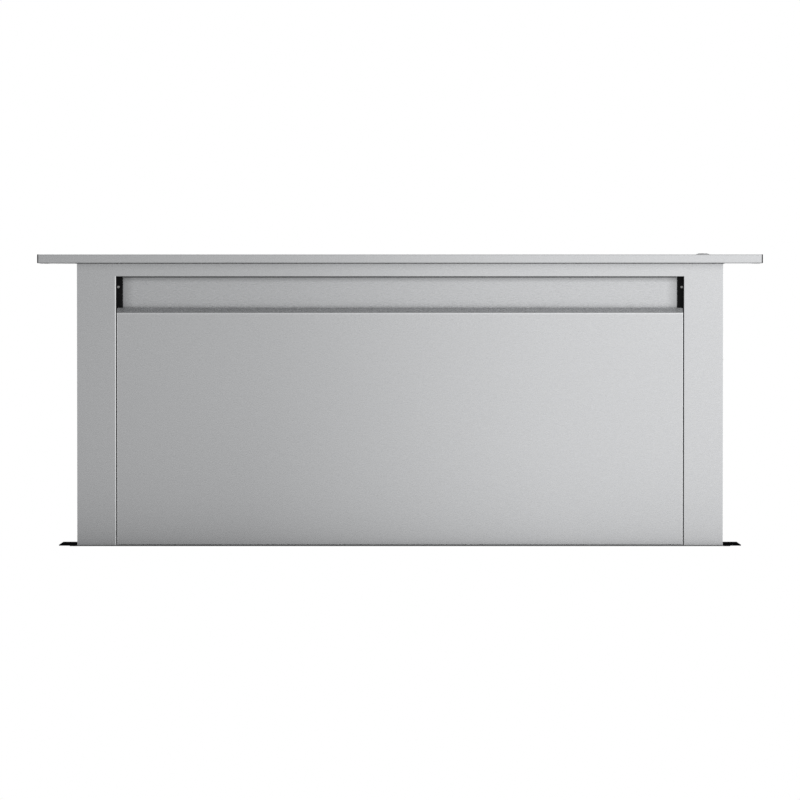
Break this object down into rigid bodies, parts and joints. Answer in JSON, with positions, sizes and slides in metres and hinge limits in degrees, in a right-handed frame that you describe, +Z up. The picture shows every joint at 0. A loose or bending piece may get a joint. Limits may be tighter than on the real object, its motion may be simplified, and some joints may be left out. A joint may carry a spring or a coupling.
{
  "type": "downdraft vent",
  "caption": "Downdraft vent with a brushed steel chimney that rises out of the worktop, an intake slot over a front panel, a screw lift in a slim housing, and a blower with a side duct collar.",
  "frame": {"origin": "middle of the underside of the base plate, on the floor of the cabinet, on the chimney's centre plane", "axes": "+X to the cook's right along the chimney's width, -Y towards the cook, +Z up along the lift"},
  "size_m": [0.9144, 0.3114, 1.0813],
  "materials": {
    "stainless": "fine horizontal brushed grain, satin",
    "button_steel": "satin turned steel",
    "galvanised": "spangled zinc, matt",
    "zinc_plated": "bright zinc plate",
    "black_coat": "satin black coating",
    "black_plastic": "moulded, matt",
    "nylon": "natural nylon",
    "rubber": "matt black rubber",
    "filter_mesh": "expanded mesh in a rolled frame",
    "ground_steel": "ground and oiled",
    "bronze": "machined bronze",
    "motor_coat": "textured dark grey coating"
  },
  "bodies": {
    "housing": {"housing_front_wall": "galvanised", "housing_back_wall": "galvanised", "left_housing_side": "galvanised", "right_housing_side": "galvanised", "base_plate": "galvanised", "plenum_floor": "galvanised", "front_trim": "stainless", "rear_trim": "stainless", "left_end_flange": "black_coat", "right_end_flange": "black_coat", "front_seal": "rubber", "rear_seal": "rubber", "left_leg": "galvanised", "right_leg": "galvanised", "left_screw_bearing": "ground_steel", "right_screw_bearing": "ground_steel", "lift_motor": "motor_coat", "drive_belt": "rubber", "down_limit_switch": "black_plastic", "up_limit_switch": "black_plastic", "blower_back_plate": "galvanised", "blower_volute": "galvanised", "blower_front_plate": "galvanised", "blower_motor": "motor_coat", "duct_collar": "galvanised", "junction_box": "galvanised", "junction_box_cover": "galvanised", "cable_gland": "black_plastic"},
    "chimney": {"top_cap": "stainless", "chimney_front_frame": "stainless", "chimney_back_panel": "stainless", "chimney_top_plate": "galvanised", "chimney_bottom_frame": "galvanised", "intake_baffle": "stainless", "left_filter_guide": "black_plastic", "right_filter_guide": "black_plastic", "left_guide_screw": "zinc_plated", "right_guide_screw": "zinc_plated", "left_filter": "filter_mesh", "right_filter": "filter_mesh", "filter_centre_post": "galvanised", "left_panel_magnet": "black_plastic", "right_panel_magnet": "black_plastic", "left_lift_nut": "bronze", "right_lift_nut": "bronze", "left_glide": "nylon", "right_glide": "nylon", "striker_screw": "zinc_plated", "button_bezel": "zinc_plated", "button_switch": "black_plastic"},
    "front_panel": {"front_panel": "stainless"},
    "control_button": {"control_button": "button_steel"},
    "left_screw": {"left_lead_screw": "ground_steel", "left_pulley": "black_plastic"},
    "right_screw": {"right_lead_screw": "ground_steel", "right_pulley": "black_plastic"},
    "motor_pulley": {"motor_pulley": "black_plastic"},
    "impeller": {"impeller": "galvanised"},
    "damper": {"damper_flap": "zinc_plated"}
  },
  "joints": [
    {"name": "chimney_lift", "type": "slide", "parent": "housing", "child": "chimney", "axis": [0, 0, 1], "range_m": [-0.354, 0]},
    {"name": "button_push", "type": "slide", "parent": "chimney", "child": "control_button", "axis": [0, 0, -1], "range_m": [0, 0.0012], "stiffness_N_per_m": 400, "springref_m": -0.001},
    {"name": "front_panel_tilt", "type": "hinge", "parent": "chimney", "child": "front_panel", "pos_m": [0, -0.022, 0.7127], "axis": [1, 0, 0], "range_deg": [0, 20]},
    {"name": "impeller_spin", "type": "hinge", "parent": "housing", "child": "impeller", "pos_m": [0.06, -0.1, 0.135], "axis": [0, 1, 0], "continuous": true},
    {"name": "damper_swing", "type": "hinge", "parent": "housing", "child": "damper", "pos_m": [-0.1408, -0.1088, 0.19701], "axis": [0, 1, 0], "range_deg": [0, 80]},
    {"name": "left_screw_spin", "type": "hinge", "parent": "housing", "child": "left_screw", "pos_m": [-0.383, 0, 0.1], "axis": [0, 0, 1], "range_deg": [-5, 6377]},
    {"name": "right_screw_spin", "type": "hinge", "parent": "housing", "child": "right_screw", "pos_m": [0.383, 0, 0.1], "axis": [0, 0, 1], "range_deg": [-5, 6377]},
    {"name": "motor_spin", "type": "hinge", "parent": "housing", "child": "motor_pulley", "pos_m": [-0.23, 0, 0.03], "axis": [0, 0, 1], "range_deg": [-5, 6377]}
  ],
  "couplings": [
    {"joint": "left_screw_spin", "follows": "chimney_lift", "rad_per_m": -314.16},
    {"joint": "right_screw_spin", "follows": "chimney_lift", "rad_per_m": -314.16},
    {"joint": "motor_spin", "follows": "chimney_lift", "rad_per_m": -314.16}
  ]
}
